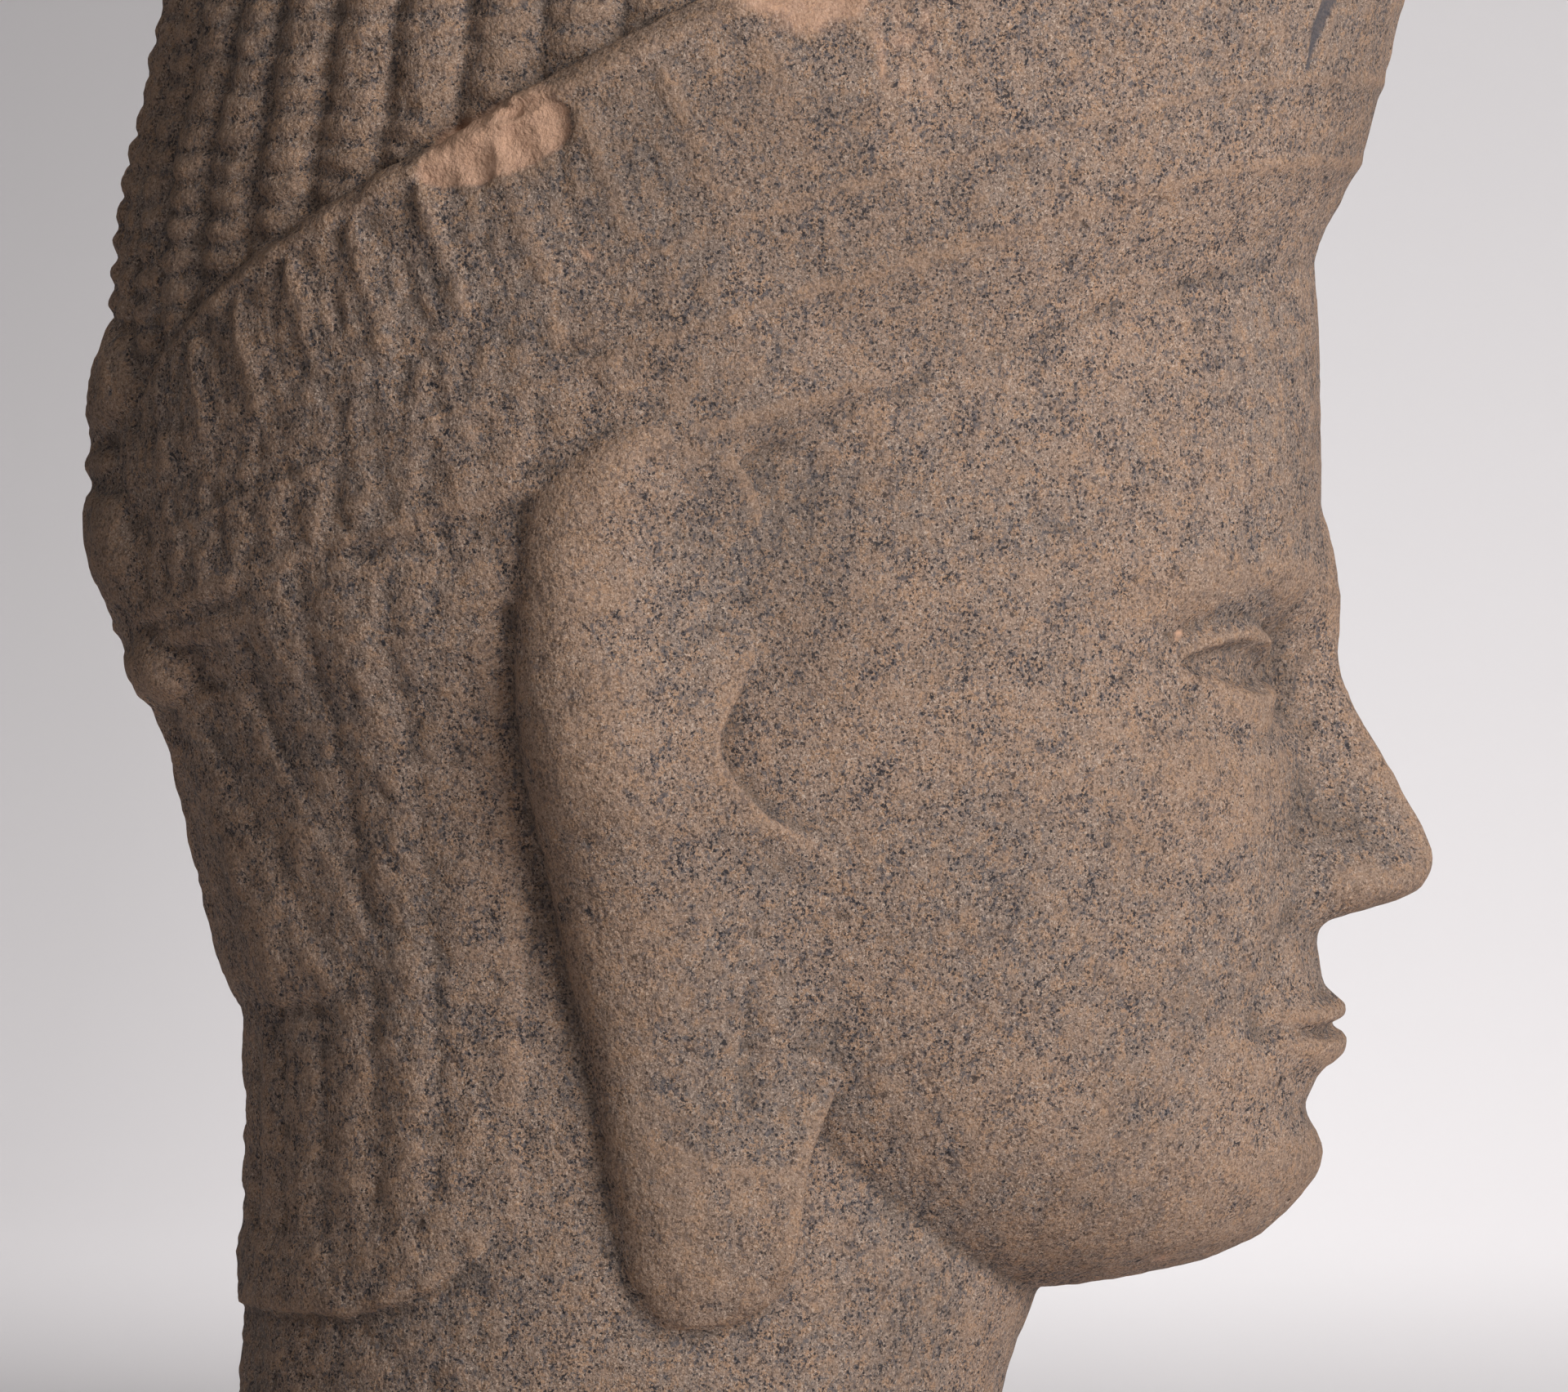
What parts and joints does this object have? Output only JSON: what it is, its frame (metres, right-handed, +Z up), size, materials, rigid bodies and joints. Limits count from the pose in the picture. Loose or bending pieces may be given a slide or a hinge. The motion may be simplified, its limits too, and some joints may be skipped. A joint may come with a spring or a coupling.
{
  "type": "carved stone head",
  "caption": "Life-size carved sandstone head with a calm face, long hanging ears, a flared diadem tied behind, plaited hair and a neck cut flat below.",
  "frame": {"origin": "middle of the flat cut under the neck", "axes": "+Z up through the neck, -Y the way the face looks, -X the head's right side"},
  "size_m": [0.1722, 0.2476, 0.336],
  "materials": {
    "sandstone": "weathered, matt, speckled"
  },
  "bodies": {
    "root": {"stone_head": "sandstone"}
  },
  "joints": []
}
